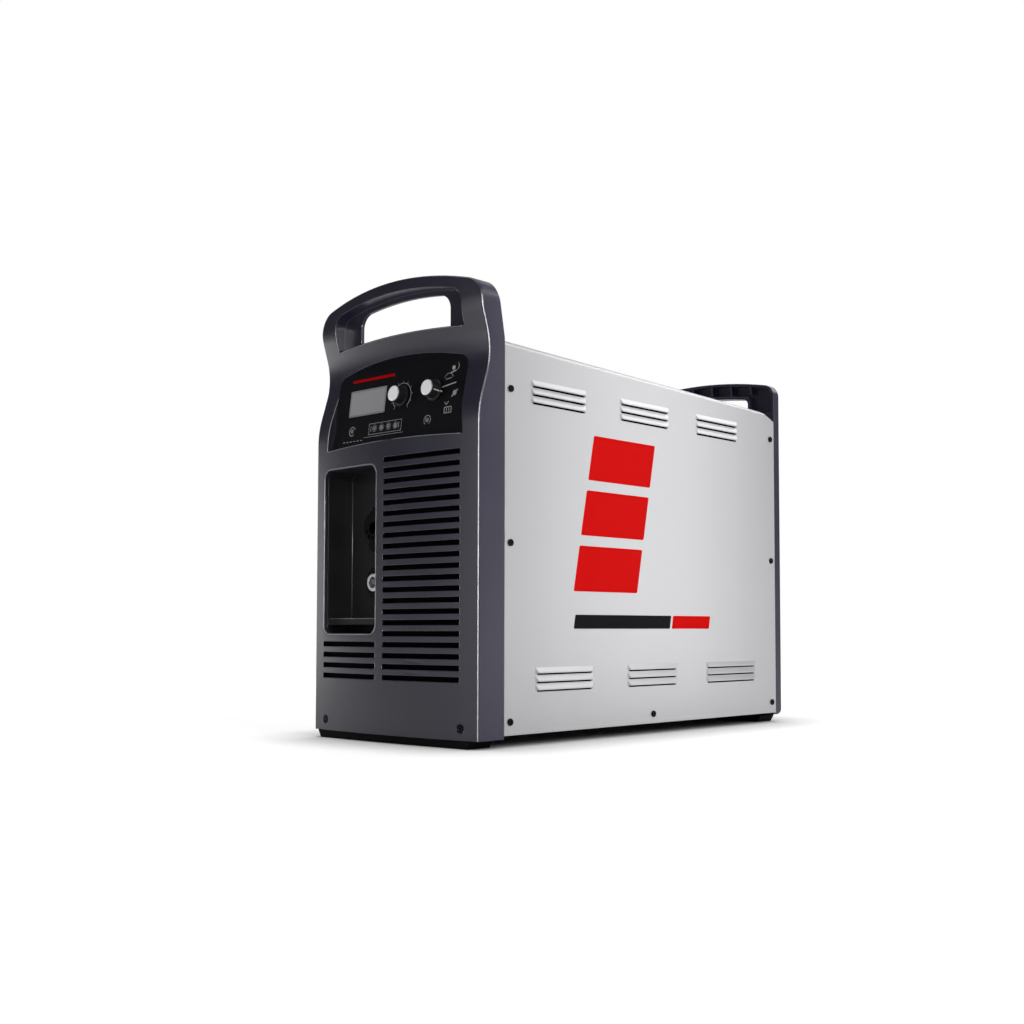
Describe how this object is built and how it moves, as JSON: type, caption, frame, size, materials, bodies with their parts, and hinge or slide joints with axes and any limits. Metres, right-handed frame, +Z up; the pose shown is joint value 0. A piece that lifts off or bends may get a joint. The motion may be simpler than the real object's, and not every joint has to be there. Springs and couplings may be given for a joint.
{
  "type": "plasma cutter",
  "caption": "Floor standing air plasma cutter power unit: charcoal moulded ends with carrying handles, silver louvred sheet cover, sloped control plate, connector bay and rubber feet.",
  "frame": {"origin": "on the floor under the middle of the unit's outer box", "axes": "+Z up, -Y towards the front with the controls, +X to the right seen from the front"},
  "size_m": [0.2788, 0.592, 0.518],
  "materials": {
    "charcoal_moulding": "fine moulded texture, slightly blue charcoal",
    "bay_moulding": "fine moulded texture, near black",
    "silver_sheet": "satin silver sheet with a faint upright grain",
    "black_screws": "black oxide",
    "black_rubber": "dull black",
    "near_black_plate": "near black film with pale marks",
    "screen_window": "clear polished",
    "screen_module": "grey unlit liquid crystal",
    "circuit_board": "green solder mask",
    "black_knob": "fine matt black",
    "silver_cap": "spun satin",
    "bright_steel": "bright zinc",
    "lamp_lens": "frosted lens, unlit",
    "dark_plastic": "moulded black",
    "contact_brass": "bright",
    "bright_ring": "polished ring",
    "zinc_sheet": "zinc plated sheet",
    "sink_aluminium": "extruded, mill finish",
    "capacitor_sleeve": "dark blue sleeve",
    "ferrite": "dark grey ferrite",
    "winding_wrap": "amber wrapped winding",
    "switch_red": "moulded red",
    "clear_bowl": "clear polycarbonate",
    "filter_white": "white sintered element",
    "hose_rubber": "dull black"
  },
  "bodies": {
    "housing": {"front_panel": "charcoal_moulding", "front_frame": "zinc_sheet", "rear_panel": "charcoal_moulding", "rear_frame": "zinc_sheet", "rear_recess": "bay_moulding", "cover": "silver_sheet", "cover_screws": "black_screws", "front_panel_screws": "black_screws", "rear_panel_screws": "black_screws", "front_foot": "black_rubber", "rear_foot": "black_rubber", "control_panel": "near_black_plate", "display_window": "screen_window", "display_module": "screen_module", "control_board": "circuit_board", "encoder_body": "bright_steel", "mode_switch_body": "dark_plastic", "indicator_lenses": "lamp_lens", "connector_bay": "bay_moulding", "torch_receptacle": "dark_plastic", "torch_contacts": "contact_brass", "release_spring": "bright_steel", "work_receptacle_body": "dark_plastic", "work_receptacle_socket": "bright_ring", "base_pan": "zinc_sheet", "centre_panel": "zinc_sheet", "fan_frame": "dark_plastic", "fan_guard": "bright_steel", "fan_screws": "bright_steel", "heat_sink": "sink_aluminium", "power_board": "circuit_board", "power_modules": "dark_plastic", "board_spacers": "contact_brass", "capacitors": "capacitor_sleeve", "transformer_core": "ferrite", "transformer_windings": "winding_wrap", "input_choke": "winding_wrap", "output_choke": "winding_wrap", "power_switch_body": "dark_plastic", "cord_gland": "dark_plastic", "cord_gland_nut": "dark_plastic", "gas_inlet": "contact_brass", "filter_head": "dark_plastic", "filter_bowl": "clear_bowl", "filter_element": "filter_white", "data_port": "dark_plastic", "supply_terminals": "dark_plastic", "gas_valve": "contact_brass", "inlet_hose": "hose_rubber", "torch_hose": "hose_rubber"},
    "current_knob": {"current_knob": "black_knob", "current_knob_cap": "silver_cap", "encoder_shaft": "bright_steel"},
    "mode_knob": {"mode_knob": "black_knob", "mode_knob_cap": "silver_cap", "mode_switch_shaft": "bright_steel"},
    "release_button": {"torch_release_button": "dark_plastic"},
    "fan": {"fan_impeller": "dark_plastic"},
    "power_switch": {"power_switch_knob": "switch_red"},
    "port_cap": {"data_port_cap": "dark_plastic"}
  },
  "joints": [
    {"name": "current_knob_turn", "type": "hinge", "parent": "housing", "child": "current_knob", "pos_m": [0.006, -0.28059, 0.388], "axis": [0, -0.9919, 0.1271], "continuous": true},
    {"name": "mode_knob_turn", "type": "hinge", "parent": "housing", "child": "mode_knob", "pos_m": [0.061, -0.28059, 0.388], "axis": [0, -0.9919, 0.1271], "range_deg": [-30, 60]},
    {"name": "torch_release_press", "type": "slide", "parent": "housing", "child": "release_button", "axis": [0, 0, -1], "range_m": [0, 0.003], "stiffness_N_per_m": 400, "springref_m": -0.003, "deforming": ["release_spring"]},
    {"name": "fan_spin", "type": "hinge", "parent": "housing", "child": "fan", "pos_m": [0.066, 0.233, 0.206], "axis": [0, 1, 0], "continuous": true},
    {"name": "power_switch_turn", "type": "hinge", "parent": "housing", "child": "power_switch", "pos_m": [-0.07, 0.256, 0.35], "axis": [0, 1, 0], "range_deg": [0, 90]},
    {"name": "port_cap_open", "type": "hinge", "parent": "housing", "child": "port_cap", "pos_m": [-0.07, 0.2642, 0.0844], "axis": [1, 0, 0], "range_deg": [0, 110]}
  ]
}
